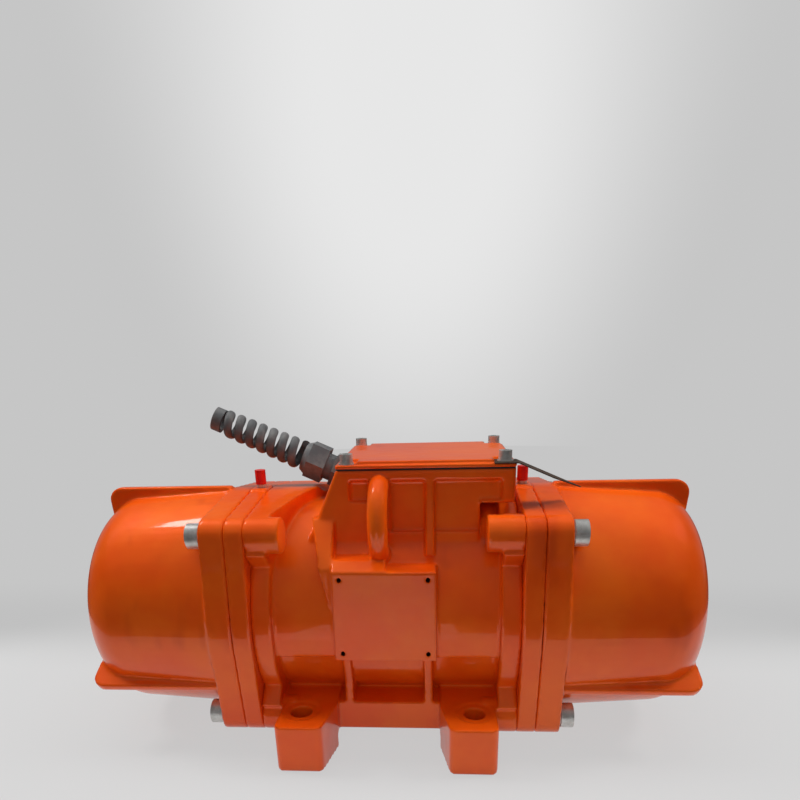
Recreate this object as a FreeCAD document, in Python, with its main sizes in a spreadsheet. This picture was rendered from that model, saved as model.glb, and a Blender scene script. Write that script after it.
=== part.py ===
import FreeCAD, Part
import Sketcher
import math
import os

# Vibration motor with external eccentric weights, foot mounted.
# Frame: millimetres, X along the shaft, Z up, origin on the mounting plane in
# the middle of the four foot holes.  Every piece is drawn about the shaft axis
# and then lifted by shaft_height.

doc = FreeCAD.newDocument("VibrationMotor")

SIZES = {
    # overall and mounting
    "shaft_height": 105.0, "foot_pitch_x": 140.0, "foot_pitch_y": 190.0,
    "foot_hole": 17.0, "foot_width": 37.0, "foot_reach": 27.0, "foot_back": 10.0, "foot_flare": 8.0,
    "foot_rise": 40.0, "foot_inset": 1.0, "spot_face": 31.0, "spot_depth": 1.0,
    "rail_bottom": 12.0, "rail_top": 37.0, "rail_face": 76.0, "rail_back": 45.0,
    "rail_sink": 5.0,
    # barrel of the housing
    "barrel_half": 104.4, "barrel_radius": 82.0, "barrel_bore": 74.0,
    "end_flange": 15.4, "end_flange_radius": 93.0, "boss_length": 27.0,
    "jacket_radius": 88.0, "jacket_half": "=barrel_half - end_flange", "ledge_drop": 22.0,
    "side_rib": 7.0, "side_rib_at": 33.2, "side_rib_reach": 83.0, "side_rib_waist": 73.0,
    "side_rib_knee": 51.0,
    # square pattern of the cover bolts and the rounded-square flanges
    "bolt_offset": 77.1, "lobe_radius": 14.0, "rim_radius": 99.0,
    "arm_width": 36.0, "cover_bolt": 10.0, "bolt_clearance": 0.6, "thread_gap": 0.05,
    # name pad and lifting eyes
    "pad_half": 39.7, "pad_face": 92.4, "pad_top": 52.0, "pad_bottom": 21.0,
    "ledge_width": 41.0, "ledge_rise": 6.0, "rivet_hole": 3.0, "rivet_depth": 5.0,
    "rivet_pitch_x": 67.0, "rivet_pitch_z": 61.0,
    "eye_at": -3.6, "eye_ring": 27.0, "eye_bar": 7.6, "eye_face": 59.0, "eye_up": 84.0,
    # terminal box
    "box_half_x": 68.3, "box_half_y": 58.7, "box_end_gap": 4.8, "box_low_back": 30.9,
    "box_centre": "=barrel_half - box_end_gap - box_half_x", "box_top": 122.0,
    "box_wall": 6.0, "box_side": 9.5, "box_foot": 45.0,
    "box_low_end": "=barrel_half - box_low_back", "tray_bottom": 96.0,
    "box_floor": 84.0, "entry_tilt": 24.1, "panel_depth": 4.2, "panel_top": 114.0,
    "panel_bottom": 74.0, "recess_bottom": 98.0, "post_radius": 8.0, "post_face": 10.0,
    "box_rib": 7.0, "rib_foot": 14.0, "box_corner": 6.0, "box_edge": 3.0,
    "lid_lip": 0.3, "lid_half_x": "=box_half_x + lid_lip", "lid_half_y": "=box_half_y + lid_lip",
    "lid_thick": 3.0, "lid_plateau": 2.6, "lid_plateau_edge": 3.0, "lid_corner_land": 8.5,
    "gasket_thick": 1.0, "bolt_inset_x": 8.0, "bolt_inset_y": 7.3, "lid_bolt": 6.0,
    "lid_bolt_x": "=box_half_x - bolt_inset_x", "lid_bolt_y": "=box_half_y - bolt_inset_y",
    "lid_screw_length": 16.0, "wire_hole": 20.0, "washer_thick": 1.6,
    # blank tag under one lid screw
    "tag_thick": 0.8, "tag_front": "=lid_bolt_y + 10.6", "tag_back": "=lid_bolt_y - 7.9",
    "tag_bend": "=box_centre + box_half_x + 1", "tag_nose": "=tag_bend + 26.4",
    "tag_end": "=tag_bend + 50.4", "tag_fall": 22.0,
    # terminal block
    "block_long": 56.0, "block_wide": 30.0, "block_tall": 12.0, "block_gap": 2.2,
    "stud_pitch_x": 18.0, "stud_pitch_y": 14.0, "stud": 5.0, "stud_tall": 10.0,
    "stud_nut": 8.0, "earth_back": 30.0, "earth_head": 10.0, "earth_disc": 7.0,
    # bearing shields
    "shield_thick": 14.9, "hub_radius": 57.0, "hub_inner": "=barrel_half - 18.4",
    "bearing_outer": 90.0, "bearing_inner": 40.0, "bearing_width": 33.0,
    "bearing_start": "=hub_inner + 6.5", "hub_outer": "=bearing_start + bearing_width + 1.5",
    "roller": 11.4, "roller_pitch": 66.0, "roller_length": 22.0,
    "roller_count": 12.0, "bearing_play": 0.05, "spigot_depth": 6.0, "spigot_wall": 9.0,
    "spigot_gap": 0.1, "neck_gap": 1.5, "cap_thick": 9.0, "cap_screw": 6.0,
    "cap_screw_pitch": 97.0, "grease_top": 100.0, "grease_half": 11.0,
    # weight covers
    "cover_flange": 19.6, "cover_radius": 98.5, "cover_end_radius": 90.5,
    "cover_corner": "=barrel_half + 139.1", "cover_end": "=cover_corner + 13.5",
    "cover_wall": 4.5, "cover_round": 34.0,
    "rib_thick": 7.0, "rib_radius": 101.5, "rib_end": "=cover_corner + 5.5",
    "rib_round": 12.0, "rib_reach": 22.0,
    "seal_bar": 2.4, "seal_radius": 97.4,
    # stator, rotor and shaft
    "stack_half": 46.0, "stator_bore": 45.0, "air_gap": 0.5, "winding_length": 26.0,
    "winding_inner": 49.0, "winding_outer": 68.0,
    "shaft_radius": 23.0, "shaft_shoulder": "=bearing_start - 8.5", "weight_seat": 38.0,
    "end_ring": 9.0, "end_ring_inner": 29.0, "end_ring_outer": 43.0,
    # eccentric weights
    "weight_start": "=hub_outer + 12", "weight_thick": 37.0, "weight_gap": 2.0,
    "weight_radius": 82.0, "shaft_end": "=weight_start + 2 * weight_thick + weight_gap + 13",
    "weight_hub": 34.0, "bore_gap": 0.05, "key_width": 12.0, "key_tall": 8.0,
    "key_sunk": 5.0, "clamp_half": 17.0, "clamp_top": 50.0, "clamp_slit": 3.0,
    "clamp_bolt": 12.0, "clamp_bolt_at": 41.0, "ring_thick": 2.5,
    # cable gland
    "gland_thread": 25.0, "gland_hex": 27.0, "gland_collar": 9.0, "gland_bore": 14.0,
    "gland_stub": 8.0, "lock_thick": 5.0, "lock_gap": 0.3, "nut_gap": 7.0, "nut_flats": 30.0,
    "nut_length": 21.0, "nut_dome": 5.0, "seal_gap": 0.2, "seal_length": "=nut_length / 3",
    "spiral_pitch": 10.0, "spiral_length": 76.0, "spiral_radius": 10.7,
    "spiral_tip_radius": 8.7, "spiral_bar": 2.7, "spiral_wide": 3.7,
    "sleeve_length": 8.0, "sleeve_radius": 10.2, "gland_drop": 16.0, "gland_back": 24.0,
    "gland_relief": 21.0,
    # grease nipples
    "cap_tap_depth": 14.0, "nipple_thread": 6.0, "nipple_hex": 7.0, "nipple_hex_tall": 2.5,
    "nipple_head": 3.3, "nipple_stem": 8.0,
    "grease_cap": 9.0, "grease_cap_tall": 12.0, "grease_cap_gap": 0.3,
}

sheet = doc.addObject("Spreadsheet::Sheet", "Sizes")
for row, (alias, value) in enumerate(SIZES.items(), start=1):
    sheet.set("A%d" % row, alias)
    sheet.set("B%d" % row, str(value))
    sheet.setAlias("B%d" % row, alias)
doc.recompute()


def size(alias):
    """One driving dimension, read from the sheet."""
    return float(sheet.get(alias))


def bind(thing, prop, value):
    """Give a property a number or an expression over the sheet."""
    if isinstance(value, str):
        thing.setExpression(prop, value)
    else:
        thing.setExpression(prop, str(value))


def named(words):
    """Turn size words into a cell reference where an expression holds them."""
    out = []
    for word in words.split():
        out.append("Sizes." + word if word in SIZES else word)
    return " ".join(out)


AXIS_TURN = {
    "x": FreeCAD.Rotation(FreeCAD.Vector(0, 1, 0), 90),
    "y": FreeCAD.Rotation(FreeCAD.Vector(1, 0, 0), -90),
    "z": FreeCAD.Rotation(),
}


def place(thing, at, turn=FreeCAD.Rotation()):
    """Put a piece at a point given as three expressions."""
    thing.Placement = FreeCAD.Placement(FreeCAD.Vector(), turn)
    for letter, words in zip("xyz", at):
        bind(thing, "Placement.Base." + letter, named(words))
    return thing


def cylinder(name, radius, length, at, axis="x"):
    thing = doc.addObject("Part::Cylinder", name)
    bind(thing, "Radius", named(radius))
    bind(thing, "Height", named(length))
    return place(thing, at, AXIS_TURN[axis])


def box(name, lengths, at, turn=FreeCAD.Rotation()):
    thing = doc.addObject("Part::Box", name)
    for prop, words in zip(("Length", "Width", "Height"), lengths):
        bind(thing, prop, named(words))
    return place(thing, at, turn)


def centred_box(name, lengths, at):
    """A box given by its size and its middle."""
    corner = ["%s - ( %s ) / 2" % (middle, long) for middle, long in zip(at, lengths)]
    return box(name, lengths, corner)


def ring(name, outer, inner, length, at, axis="x"):
    """A tube with a length along one axis."""
    return cut(name, cylinder(name + "_outer", outer, length, at, axis),
               [cylinder(name + "_inner", inner, length, at, axis)])


def hexagon(name, flats, length, at, axis="z", turn=0.0):
    """A hexagonal prism given by its width across flats."""
    base = doc.addObject("Part::RegularPolygon", name + "_outline")
    base.Polygon = 6
    bind(base, "Circumradius", "( %s ) / 2 / cos(30 deg)" % named(flats))
    spin = FreeCAD.Rotation(FreeCAD.Vector(0, 0, 1), turn)
    base.Placement = FreeCAD.Placement(FreeCAD.Vector(), spin)
    prism = doc.addObject("Part::Extrusion", name)
    prism.Base = base
    prism.DirMode = "Custom"
    prism.Dir = FreeCAD.Vector(0, 0, 1)
    prism.Solid = True
    bind(prism, "LengthFwd", named(length))
    return place(prism, at, AXIS_TURN[axis])


def fuse(name, pieces):
    thing = doc.addObject("Part::MultiFuse", name)
    thing.Shapes = pieces
    thing.Refine = True
    return thing


def common(name, pieces):
    thing = doc.addObject("Part::MultiCommon", name)
    thing.Shapes = pieces
    return thing


def cut(name, base, tools):
    tool = tools[0] if len(tools) == 1 else fuse(name + "_tools", tools)
    thing = doc.addObject("Part::Cut", name)
    thing.Base = base
    thing.Tool = tool
    return thing


def group(name, pieces):
    """Loose solids of one kind kept together, such as a set of bolts."""
    thing = doc.addObject("Part::Compound", name)
    thing.Links = pieces
    return thing


def fillet(name, base, radius, chosen):
    """Round the edges of a base that a test picks."""
    doc.recompute()
    edges = []
    for number, edge in enumerate(base.Shape.Edges, start=1):
        if chosen(edge):
            edges.append((number, size(radius), size(radius)))
    thing = doc.addObject("Part::Fillet", name)
    thing.Base = base
    thing.Edges = edges
    return thing


def prism(name, plane, points, depth, start="0"):
    """An outline of straight sides drawn on a plane and pulled along its normal.

    plane "xz" is pulled along Y, "yz" along X and "xy" along Z; every corner
    is a pair of expressions."""
    thing = doc.addObject("PartDesign::Body", name)
    sketch = outline(thing, plane, name + "_outline", points, start)
    pad = thing.newObject("PartDesign::Pad", name + "_pad")
    pad.Profile = sketch
    bind(pad, "Length", named(depth))
    pad.Reversed = plane == "xz"
    return thing


ROLE = {"xy": "XY_Plane", "xz": "XZ_Plane", "yz": "YZ_Plane"}
NORMAL_SIGN = {"xy": "", "xz": "-1 * ", "yz": ""}


def plane_sketch(body, plane, name, start="0"):
    """An empty sketch on one of the body's own planes, moved along the axis."""
    sketch = body.newObject("Sketcher::SketchObject", name)
    for feature in body.Origin.OriginFeatures:
        if feature.Role == ROLE[plane]:
            sketch.AttachmentSupport = [(feature, "")]
    sketch.MapMode = "FlatFace"
    words = NORMAL_SIGN[plane] + "( " + named(start) + " )"
    sketch.setExpression("AttachmentOffset.Base.z", words)
    return sketch


def pin(sketch, geo, pos, point):
    """Tie one point of a sketch to two expressions."""
    for kind, words in zip(("DistanceX", "DistanceY"), point):
        value = sketch.evalExpression(named(words))
        value = getattr(value, "Value", value)
        index = sketch.addConstraint(Sketcher.Constraint(kind, geo, pos, float(value)))
        sketch.setExpression("Constraints[%d]" % index, named(words))


def corner(sketch, point):
    """Where two expressions put a corner now."""
    place_now = []
    for words in point:
        value = sketch.evalExpression(named(words))
        place_now.append(float(getattr(value, "Value", value)))
    return FreeCAD.Vector(place_now[0], place_now[1], 0)


def outline(body, plane, name, points, start="0", arcs=None):
    """A closed outline through corners; arcs maps a side to (radius, way)."""
    arcs = arcs or {}
    sketch = plane_sketch(body, plane, name, start)
    here = [corner(sketch, point) for point in points]
    for side, first in enumerate(here):
        last = here[(side + 1) % len(here)]
        if side not in arcs:
            sketch.addGeometry(Part.LineSegment(first, last))
            pin(sketch, side, 1, points[side])
            continue
        radius, way = arcs[side]
        amount = corner(sketch, (radius, "0")).x
        chord = last.sub(first)
        half = chord.Length / 2
        rise = math.sqrt(max(amount * amount - half * half, 0.0))
        across = FreeCAD.Vector(-chord.y, chord.x, 0).normalize()
        middle = first.add(chord.multiply(0.5))
        centre = middle.add(across.multiply(-way * rise))
        circle = Part.Circle(centre, FreeCAD.Vector(0, 0, 1), amount)
        begin = math.atan2(first.y - centre.y, first.x - centre.x)
        end = math.atan2(last.y - centre.y, last.x - centre.x)
        if way > 0:
            begin, end = end, begin
        sketch.addGeometry(Part.ArcOfCircle(circle, begin, end))
        index = sketch.addConstraint(Sketcher.Constraint("Radius", side, amount))
        sketch.setExpression("Constraints[%d]" % index, named(radius))
        pin(sketch, side, 2 if way > 0 else 1, points[side])
    for side in range(len(here)):
        nearby = (side + 1) % len(here)
        end_pos = 1 if side in arcs and arcs[side][1] > 0 else 2
        start_pos = 2 if nearby in arcs and arcs[nearby][1] > 0 else 1
        sketch.addConstraint(Sketcher.Constraint("Coincident", side, end_pos, nearby, start_pos))
    return sketch


def lobed_sketch(body, name, start):
    """The rounded square of the flanges: a disc and four bolt lobes joined by
    their common tangents."""
    sketch = plane_sketch(body, "yz", name, start)
    rim = size("rim_radius")
    lobe = size("lobe_radius")
    reach = size("bolt_offset") * math.sqrt(2)
    lean = math.acos((rim - lobe) / reach)
    quarter = math.pi / 2
    up = FreeCAD.Vector(0, 0, 1)
    for turn in range(4):
        middle = quarter / 2 + turn * quarter
        first = middle - lean
        last = middle + lean
        heart = FreeCAD.Vector(reach * math.cos(middle), reach * math.sin(middle), 0)
        disc = Part.Circle(FreeCAD.Vector(), up, rim)
        knob = Part.Circle(heart, up, lobe)
        sketch.addGeometry(Part.ArcOfCircle(disc, last - quarter, first))
        sketch.addGeometry(Part.ArcOfCircle(knob, first, last))
        for angle in (first, last):
            out = FreeCAD.Vector(math.cos(angle), math.sin(angle), 0)
            ends = [out * rim, heart.add(out * lobe)]
            if angle == last:
                ends.reverse()
            sketch.addGeometry(Part.LineSegment(ends[0], ends[1]))
    signs = ((1, 1), (-1, 1), (-1, -1), (1, -1))
    for turn, (side, rise) in enumerate(signs):
        disc, knob, lead, trail = (4 * turn + part for part in range(4))
        following = (4 * turn + 4) % 16
        sketch.addConstraint(Sketcher.Constraint("Coincident", disc, 3, -1, 1))
        for arc, radius in ((disc, "rim_radius"), (knob, "lobe_radius")):
            index = sketch.addConstraint(Sketcher.Constraint("Radius", arc, size(radius)))
            sketch.setExpression("Constraints[%d]" % index, named(radius))
        pin(sketch, knob, 3, ("%d * bolt_offset" % side, "%d * bolt_offset" % rise))
        sketch.addConstraint(Sketcher.Constraint("Tangent", disc, 2, lead, 1))
        sketch.addConstraint(Sketcher.Constraint("Tangent", lead, 2, knob, 1))
        sketch.addConstraint(Sketcher.Constraint("Tangent", knob, 2, trail, 1))
        sketch.addConstraint(Sketcher.Constraint("Tangent", trail, 2, following, 1))
    return sketch


def lobed_plate(name, start, thick):
    """A body that begins with the rounded-square flange."""
    body = doc.addObject("PartDesign::Body", name)
    sketch = lobed_sketch(body, name + "_flange_outline", start)
    pad = body.newObject("PartDesign::Pad", name + "_flange")
    pad.Profile = sketch
    bind(pad, "Length", named(thick))
    return body


def spin(body, kind, sketch, name):
    """Turn a sketch in the XZ plane once round the shaft axis."""
    feature = body.newObject("PartDesign::" + kind, name)
    feature.Profile = sketch
    feature.ReferenceAxis = (sketch, ["H_Axis"])
    feature.Angle = 360
    return feature


def at_corners(name, radius, length, start):
    """Four cylinders on the square pattern of the cover bolts."""
    pieces = []
    for number, (side, rise) in enumerate(((1, 1), (-1, 1), (-1, -1), (1, -1)), start=1):
        at = (start, "%d * bolt_offset" % side, "%d * bolt_offset" % rise)
        pieces.append(cylinder("%s_%d" % (name, number), radius, length, at))
    return pieces


NODES = {}


def node(label, thing):
    """Name a finished piece and lift it onto the mounting plane."""
    drawn = dict(thing.ExpressionEngine).get(".Placement.Base.z", "0")
    bind(thing, "Placement.Base.z", "Sizes.shaft_height + ( %s )" % drawn)
    thing.Label = label
    NODES[label] = thing
    return thing


def both_sides(label, right):
    """The right-hand piece and its mirror image on the left."""
    node(label + "_right", right)
    left = doc.addObject("Part::Mirroring", label + "_mirror")
    left.Source = right
    left.Normal = FreeCAD.Vector(1, 0, 0)
    left.Label = label + "_left"
    NODES[left.Label] = left


SIDES = (-1, 1)


# ---------------------------------------------------------------- housing
# One iron casting: a barrel with a thicker jacket over its upper half, an end
# flange with four bolt bosses at each end, feet, rails, a name pad, two lifting
# eyes and the terminal box on top, set off towards +X.

def housing_barrel():
    barrel = cylinder("barrel", "barrel_radius", "2 * barrel_half", ("-1 * barrel_half", "0", "0"))
    round_jacket = cylinder("jacket_round", "jacket_radius", "2 * jacket_half",
                            ("-1 * jacket_half", "0", "0"))
    upper = box("jacket_upper", ("2 * jacket_half", "2 * jacket_radius", "2 * jacket_radius"),
                ("-1 * jacket_half", "-1 * jacket_radius", "-1 * ledge_drop"))
    return [barrel, common("jacket", [round_jacket, upper])]


DIGITS = 9


def housing_ends():
    pieces = []
    for side in SIDES:
        word = "right" if side > 0 else "left"
        start = "barrel_half - end_flange" if side > 0 else "-1 * barrel_half"
        pieces.append(cylinder("end_flange_" + word, "end_flange_radius", "end_flange",
                               (start, "0", "0")))
        for lean in (45, 135):
            arm = box("flange_arm_%s_%d" % (word, lean),
                      ("end_flange", "2 * bolt_offset * sqrt(2)", "arm_width"), (start, "0", "0"))
            turn = FreeCAD.Rotation(FreeCAD.Vector(1, 0, 0), lean)
            arm.Placement = FreeCAD.Placement(FreeCAD.Vector(), turn)
            along = FreeCAD.Vector(0, math.cos(math.radians(lean)), math.sin(math.radians(lean)))
            wide = FreeCAD.Vector(0, -math.sin(math.radians(lean)), math.cos(math.radians(lean)))
            for letter in "yz":
                share_along = round(getattr(along, letter) * math.sqrt(2), DIGITS)
                share_wide = round(getattr(wide, letter) / 2, DIGITS)
                words = "-1 * bolt_offset * %r - arm_width * %r" % (share_along, share_wide)
                bind(arm, "Placement.Base." + letter, named(words))
            bind(arm, "Placement.Base.x", named(start))
            pieces.append(arm)
        boss_start = "barrel_half - boss_length" if side > 0 else "-1 * barrel_half"
        pieces += at_corners("boss_" + word, "lobe_radius", "boss_length", boss_start)
    return pieces


def housing_feet():
    pieces = []
    for side in SIDES:
        for depth in SIDES:
            word = "%s_%s" % ("right" if side > 0 else "left", "rear" if depth > 0 else "front")
            middle = "foot_pitch_x / 2 - foot_inset"
            outer = "%d * ( %s + foot_width / 2 )" % (side, middle)
            inner = "%d * ( %s - foot_width / 2 )" % (side, middle)
            root = "%d * ( %s - foot_width / 2 - foot_flare )" % (side, middle)
            near = "%d * ( foot_pitch_y / 2 - foot_back )" % depth
            far = "%d * ( foot_pitch_y / 2 + foot_reach )" % depth
            back = "%d * rail_back" % depth
            block = prism("foot_" + word, "xy",
                          [(outer, far), (inner, far), (root, near), (outer, near)],
                          "foot_rise", "-1 * shaft_height")
            pieces.append(fillet("foot_round_" + word, block, "box_corner", outer_upright))
            pieces.append(prism("foot_root_" + word, "xy",
                                [(outer, near), (root, near), (root, back), (outer, back)],
                                "foot_rise - rail_bottom", "rail_bottom - shaft_height"))
    for depth in SIDES:
        word = "rear" if depth > 0 else "front"
        middle_y = "%d * ( rail_face + rail_back ) / 2" % depth
        pieces.append(centred_box("rail_" + word,
                      ("foot_pitch_x", "rail_face - rail_back", "rail_top - rail_bottom"),
                      ("0", middle_y, "( rail_top + rail_bottom ) / 2 - shaft_height")))
        for side in SIDES:
            name = "side_rib_%s_%s" % (word, "right" if side > 0 else "left")
            web = [("%d * rail_back" % depth, "-1 * ledge_drop"),
                   ("%d * side_rib_reach" % depth, "-1 * ledge_drop"),
                   ("%d * side_rib_waist" % depth, "-1 * side_rib_knee"),
                   ("%d * rail_face" % depth, "rail_top - shaft_height"),
                   ("%d * rail_back" % depth, "rail_top - shaft_height - rail_sink")]
            pieces.append(prism(name, "yz", web, "side_rib",
                                "%d * side_rib_at - side_rib / 2" % side))
    return pieces


def outer_upright(edge):
    """The two upright edges of a foot that face away from the barrel."""
    box_now = edge.BoundBox
    upright = box_now.ZLength > size("foot_rise") / 2
    return upright and abs(box_now.Center.y) > size("foot_pitch_y") / 2


def housing_pad():
    """The name pad, its ledge and the sloping web beside it."""
    block = box("name_pad", ("2 * pad_half", "pad_face - box_foot", "pad_top + pad_bottom"),
                ("-1 * pad_half", "-1 * pad_face", "-1 * pad_bottom"))
    ledge = prism("pad_ledge", "yz",
                  [("-1 * pad_face", "pad_top - ledge_rise"), ("-1 * pad_face", "pad_top"),
                   ("-1 * pad_face + 2 * ledge_rise", "pad_top + ledge_rise"),
                   ("-1 * box_foot", "pad_top + ledge_rise"),
                   ("-1 * box_foot", "pad_top - ledge_rise")],
                  "ledge_width", "-1 * pad_half")
    face = prism("web_face", "xz",
                 [("-1 * pad_half - 3 * ledge_rise", "box_foot + pad_half"),
                  ("-1 * pad_half + side_rib", "box_foot + pad_half"),
                  ("-1 * pad_half + side_rib", "0"),
                  ("-1 * pad_half", "side_rib")],
                 "pad_face - box_foot", "-1 * pad_face")
    side = prism("web_side", "yz",
                 [("-1 * box_half_y", "box_foot + pad_half"),
                  ("-1 * pad_face + ledge_rise", "pad_top"),
                  ("-1 * pad_face + ledge_rise", "0"),
                  ("-1 * box_foot", "0"), ("-1 * box_foot", "box_foot + pad_half")],
                 "pad_half", "-2 * pad_half")
    return [block, ledge, common("pad_web", [face, side])]


def housing_deck():
    """The raised deck between the left flange and the leaning wall of the box;
    its front edge runs back towards the box."""
    full = lobed_plate("deck_form", "-1 * barrel_half", "barrel_half - eye_ring")
    wall = "( box_half_x - box_centre )"
    plan = prism("deck_plan", "xy",
                 [("-1 * barrel_half", "-1 * bolt_offset"), ("-1 * jacket_half", "-1 * bolt_offset"),
                  ("-1 * barrel_half + 2 * lobe_radius", "-2 * lobe_radius"),
                  ("-1 * %s - 2 * lobe_radius" % wall, "0"),
                  ("-1 * %s - lobe_radius" % wall, "box_half_y"),
                  ("-1 * barrel_half", "bolt_offset")],
                 "rim_radius", "box_foot")
    return [common("deck", [full, plan])]


def housing_eyes():
    """Two cast lifting rings, one in front and one diagonally behind."""
    pieces = []
    spots = (("front", "eye_at", "-1 * eye_face"), ("rear", "2 * box_centre - eye_at", "eye_face"))
    for word, along, across in spots:
        eye = doc.addObject("Part::Torus", "lifting_eye_" + word)
        bind(eye, "Radius1", "Sizes.eye_ring")
        bind(eye, "Radius2", "Sizes.eye_bar")
        pieces.append(place(eye, (along, across, "eye_up"), AXIS_TURN["x"]))
    return pieces


def housing_box():
    """Outside of the terminal box: its cable side leans so that the gland
    stands square on it, and its far end overhangs the right flange."""
    lean = "( box_top - box_foot ) * tan(Sizes.entry_tilt * 1 deg)"
    left = "box_centre - box_half_x"
    shell = prism("box_shell", "xz",
                  [(left, "box_top"), ("box_centre + box_half_x", "box_top"),
                   ("box_centre + box_half_x", "tray_bottom"), ("box_low_end", "tray_bottom"),
                   ("box_low_end", "box_foot"), (left + " - " + lean, "box_foot")],
                  "2 * box_half_y", "-1 * box_half_y")
    rounded = fillet("box_rounded", shell, "box_edge", box_upright)
    rib = prism("box_gusset", "yz",
                [("-1 * box_half_y - rib_foot", "pad_top + ledge_rise"),
                 ("-1 * box_half_y", "recess_bottom"), ("-1 * box_foot", "recess_bottom"),
                 ("-1 * box_foot", "pad_top + ledge_rise")],
                "box_rib", "box_centre")
    posts = []
    for number, (side, depth) in enumerate(((1, 1), (-1, 1), (-1, -1), (1, -1)), start=1):
        posts.append(cylinder("lid_post_%d" % number, "post_radius", "box_top - tray_bottom",
                              ("box_centre + %d * ( lid_bolt_x - 1 )" % side,
                               "%d * ( lid_bolt_y - 1 )" % depth, "tray_bottom"), "z"))
    return [rounded, rib], posts


def box_upright(edge):
    """The upright corner edges of the terminal box."""
    box_now = edge.BoundBox
    far = abs(abs(box_now.Center.y) - size("box_half_y")) < 0.01 and box_now.YLength < 0.01
    rises = box_now.ZLength > size("box_wall")
    return far and rises and box_now.Center.z > size("box_foot")


def housing_hollow(posts):
    """Everything that is cored or machined out of the casting."""
    bore = cylinder("stator_bore_hole", "barrel_bore", "2 * barrel_half + 2",
                    ("-1 * barrel_half - 1", "0", "0"))
    left = "box_centre - box_half_x + box_wall"
    lean = "( box_top - box_floor ) * tan(Sizes.entry_tilt * 1 deg)"
    cavity = prism("box_cavity", "xz",
                   [(left, "box_top + 1"), ("box_centre + box_half_x - box_wall", "box_top + 1"),
                    ("box_centre + box_half_x - box_wall", "tray_bottom + box_wall"),
                    ("box_low_end - box_wall", "tray_bottom + box_wall"),
                    ("box_low_end - box_wall", "box_floor"), (left + " - " + lean, "box_floor"),
                    (left, "box_top")],
                   "2 * ( box_half_y - box_side )", "box_side - box_half_y")
    tools = [bore, cut("box_hollow", cavity, posts)]
    tools.append(cylinder("wire_passage", "wire_hole / 2", "box_floor - barrel_bore + 10",
                          ("box_centre - wire_hole", "0", "barrel_bore - 5"), "z"))
    for depth in SIDES:
        word = "rear" if depth > 0 else "front"
        spans = (("corner", "box_centre - box_half_x + post_face", "eye_at - eye_bar",
                  "recess_bottom"),
                 ("left", "eye_at + eye_bar", "box_centre", "panel_bottom"),
                 ("right", "box_centre + box_rib", "box_low_end", "panel_bottom"),
                 ("end", "box_low_end", "box_centre + box_half_x - post_face", "recess_bottom"))
        for side, start, end, low in spans:
            tools.append(box("panel_%s_%s" % (word, side),
                             ("%s - ( %s )" % (end, start), "2 * panel_depth",
                              "panel_top - " + low),
                             (start, "%d * box_half_y - panel_depth" % depth, low)))
        for side in SIDES:
            name = "%s_%s" % (word, "right" if side > 0 else "left")
            at_x = "%d * foot_pitch_x / 2" % side
            at_y = "%d * foot_pitch_y / 2" % depth
            tools.append(cylinder("foot_hole_" + name, "foot_hole / 2", "foot_rise + 2",
                                  (at_x, at_y, "-1 * shaft_height - 1"), "z"))
            tools.append(cylinder("spot_face_" + name, "spot_face / 2",
                                  "shaft_height - ledge_drop - foot_rise + spot_depth - 2",
                                  (at_x, at_y, "foot_rise - spot_depth - shaft_height"), "z"))
            tools.append(cylinder("lid_tap_" + name, "lid_bolt / 2 + thread_gap",
                                  "box_top - tray_bottom",
                                  ("box_centre + %d * lid_bolt_x" % side,
                                   "%d * lid_bolt_y" % depth, "tray_bottom + 4"), "z"))
    for side in SIDES:
        word = "right" if side > 0 else "left"
        start = "barrel_half - boss_length + 3" if side > 0 else "-1 * barrel_half - 1"
        tools += at_corners("cover_tap_" + word, "cover_bolt / 2 + thread_gap",
                            "boss_length - 2", start)
    for side in SIDES:
        for rise in SIDES:
            name = "rivet_hole_%d_%d" % (side + 1, rise + 1)
            tools.append(cylinder(name, "rivet_hole / 2", "rivet_depth + 1",
                                  ("%d * rivet_pitch_x / 2" % side, "-1 * pad_face - 1",
                                   "( pad_top - pad_bottom ) / 2 + %d * rivet_pitch_z / 2" % rise),
                                  "y"))
    return tools


def gland_place(thing, along):
    """Stand a piece on the leaning cable wall; along is how far out it sits."""
    turn = FreeCAD.Rotation(FreeCAD.Vector(0, 1, 0), size("entry_tilt") - 90)
    thing.Placement = FreeCAD.Placement(FreeCAD.Vector(), turn)
    wall_x = "( Sizes.box_centre - Sizes.box_half_x - Sizes.gland_drop * sin(Sizes.entry_tilt * 1 deg) )"
    wall_z = "( Sizes.box_top - Sizes.gland_drop * cos(Sizes.entry_tilt * 1 deg) )"
    step = "( " + named(along) + " )"
    bind(thing, "Placement.Base.y", "Sizes.gland_back")
    bind(thing, "Placement.Base.x", wall_x + " - " + step + " * cos(Sizes.entry_tilt * 1 deg)")
    bind(thing, "Placement.Base.z", wall_z + " + " + step + " * sin(Sizes.entry_tilt * 1 deg)")
    return thing


def motor_housing():
    outside, posts = housing_box()
    solid = housing_barrel() + housing_ends() + housing_feet() + housing_pad()
    solid += housing_deck() + housing_eyes() + outside
    casting = fuse("housing_casting", solid)
    entry = cylinder("gland_entry", "gland_thread / 2 + thread_gap", "4 * box_wall",
                     ("0", "0", "0"), "z")
    gland_place(entry, "-3 * box_wall")
    relief = cylinder("gland_spot_face", "gland_relief",
                      "gland_collar + nut_gap + nut_length + gland_relief",
                      ("0", "0", "0"), "z")
    gland_place(relief, "0")
    tools = housing_hollow(posts) + [entry, relief]
    node("motor_housing", cut("housing", casting, tools))


motor_housing()


# ------------------------------------------------------- bearing shields
# A rounded-square iron plate with a hub for the roller bearing, a spigot that
# enters the barrel and a boss for the grease nipple on top.

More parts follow.
